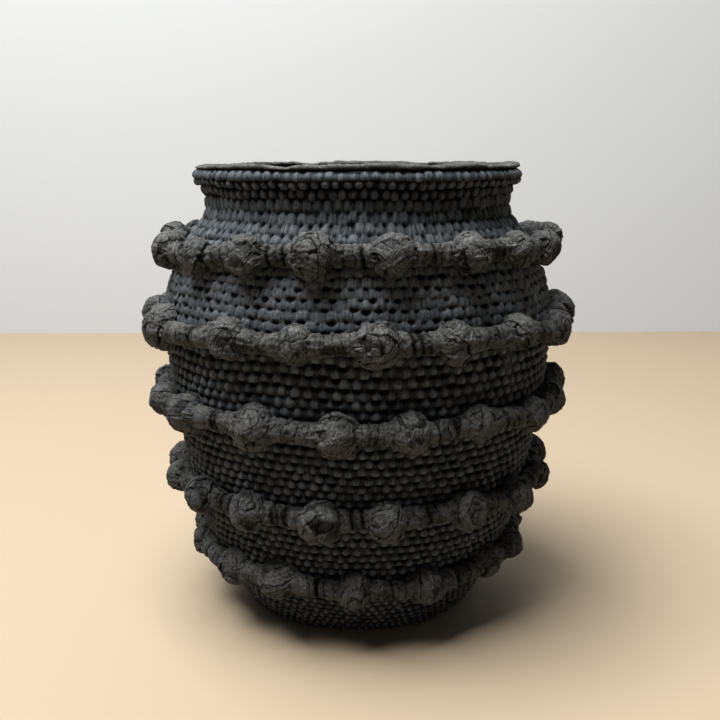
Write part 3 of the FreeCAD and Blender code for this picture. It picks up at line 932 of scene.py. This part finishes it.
# The woven body colour's blue cast is painted reflection of the pale sky.
WOVEN = black_clay(
    "woven_black_clay", dark=(0.0020, 0.0020, 0.0020), body=(0.0740, 0.0840, 0.0930),
    dust_and_highlight=(0.115, 0.114, 0.108), dust_and_highlight_amount=0.45, rough=0.70, woven=True)
WRAPPED = black_clay(
    "wrapped_black_clay", dark=(0.0020, 0.0019, 0.0018), body=(0.0540, 0.0548, 0.0545),
    dust_and_highlight=(0.160, 0.150, 0.130), dust_and_highlight_amount=0.70, rough=0.70)
WOUND = black_clay(
    "wound_black_clay", dark=(0.0020, 0.0019, 0.0018), body=(0.0520, 0.0524, 0.0515),
    dust_and_highlight=(0.145, 0.135, 0.115), dust_and_highlight_amount=0.65, rough=0.74)
SMOOTH = black_clay(
    "smooth_black_clay", dark=(0.0070, 0.0066, 0.0060), body=(0.0480, 0.0480, 0.0465),
    dust_and_highlight=(0.125, 0.117, 0.102), dust_and_highlight_amount=0.75, rough=0.78, glint_flecks=0.35)


# ---------------------------------------------------------------------------
# Build the pot
# ---------------------------------------------------------------------------

def strand_height(number):
    """Mean height of a strand's cords, which is where one band of skin ends."""
    boxes = [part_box("strand_%d_cords_%s" % (number, quarter)) for quarter in QUARTERS]
    return sum((box[0][2] + box[1][2]) / 2 for box in boxes) / len(boxes)


strand_heights = [strand_height(number) for number in range(1, STRAND_COUNT + 1)]
zone_edges = [float(SKIN_Z[-1])] + strand_heights + [float(SKIN_Z[0])]
for zone, (zone_top, zone_bottom) in enumerate(zip(zone_edges, zone_edges[1:])):
    skin_zone("woven_skin_band_%d" % (zone + 1), zone_bottom, zone_top, BANDS[zone],
              ROW_PITCHES[zone], 300 + 20 * zone, WOVEN)

for strand_number in range(1, STRAND_COUNT + 1):
    make_strand(strand_number, WRAPPED, WOUND)

inner_wall(SMOOTH)
base_disc(SMOOTH)
lip(SMOOTH)


# ---------------------------------------------------------------------------
# Floor, light and camera
# ---------------------------------------------------------------------------

STAGE_SIZE = 6.0
BACKDROP_PLACE = (0, 0.60, 1.0)
FLOOR_COLOUR = (0.36, 0.275, 0.182)
BACKDROP_COLOUR = (0.52, 0.53, 0.53)
# Name, place, width and height, power in watts and colour of each area light.
LIGHTS = [
    ("sky_left", (-0.34, -0.22, 1.32), (0.95, 0.95), 52, (0.94, 0.97, 1.0)),
    ("fill_front", (0.5, -1.6, 0.9), (1.4, 1.0), 0.9, (0.95, 0.98, 1.0)),
]
LIGHTS_AIM = Vector((0, 0, 0.09))
SKY_COLOUR = (0.90, 0.94, 1.0)
SKY_STRENGTH = 0.045

CAMERA_PLACE = (0.001, -0.3910, 0.1850)
CAMERA_DIP = 12.24          # degrees below level
CAMERA_ROLL = 0.15          # degrees
CAMERA_LENS = 47.5          # millimetres
CAMERA_SENSOR = 36.0        # millimetres


def stage_plane(name, where, tilt, colour, roughness):
    """One plain plane of the set."""
    bpy.ops.mesh.primitive_plane_add(size=STAGE_SIZE, location=where, rotation=(tilt, 0, 0))
    plane = bpy.context.object
    plane.name = name
    material = bpy.data.materials.new("pale_" + name)
    material.use_nodes = True
    shader = material.node_tree.nodes["Principled BSDF"]
    shader.inputs["Base Color"].default_value = (*colour, 1.0)
    shader.inputs["Roughness"].default_value = roughness
    plane.data.materials.append(material)
    return plane


def area_light(name, where, size, power, colour):
    """A lamp aimed at the middle of the pot."""
    data = bpy.data.lights.new(name, "AREA")
    data.shape = "RECTANGLE"
    data.size, data.size_y = size
    data.energy = power
    data.color = colour
    lamp = bpy.data.objects.new(name, data)
    lamp.location = where
    lamp.rotation_euler = (LIGHTS_AIM - lamp.location).to_track_quat("-Z", "Y").to_euler()
    bpy.context.scene.collection.objects.link(lamp)


def studio():
    """The pot stands on a plain floor before a plain backdrop, in soft light from the left."""
    floor = stage_plane("floor", (0, 0, 0), 0, FLOOR_COLOUR, 0.7)
    backdrop = stage_plane("backdrop", BACKDROP_PLACE, math.pi / 2, BACKDROP_COLOUR, 0.8)
    for light in LIGHTS:
        area_light(*light)
    world = bpy.data.worlds.new("studio")
    bpy.context.scene.world = world
    world.use_nodes = True
    background = world.node_tree.nodes["Background"]
    background.inputs["Color"].default_value = (*SKY_COLOUR, 1.0)
    background.inputs["Strength"].default_value = SKY_STRENGTH
    bpy.context.scene.view_settings.view_transform = "Standard"


def camera():
    """The camera looks slightly down on the pot from just above its lip."""
    data = bpy.data.cameras.new("camera")
    data.sensor_width = CAMERA_SENSOR
    data.lens = CAMERA_LENS
    view = bpy.data.objects.new("camera", data)
    view.location = CAMERA_PLACE
    view.rotation_euler = (math.radians(90 - CAMERA_DIP), math.radians(CAMERA_ROLL), 0)
    bpy.context.scene.collection.objects.link(view)
    bpy.context.scene.camera = view


studio()
camera()
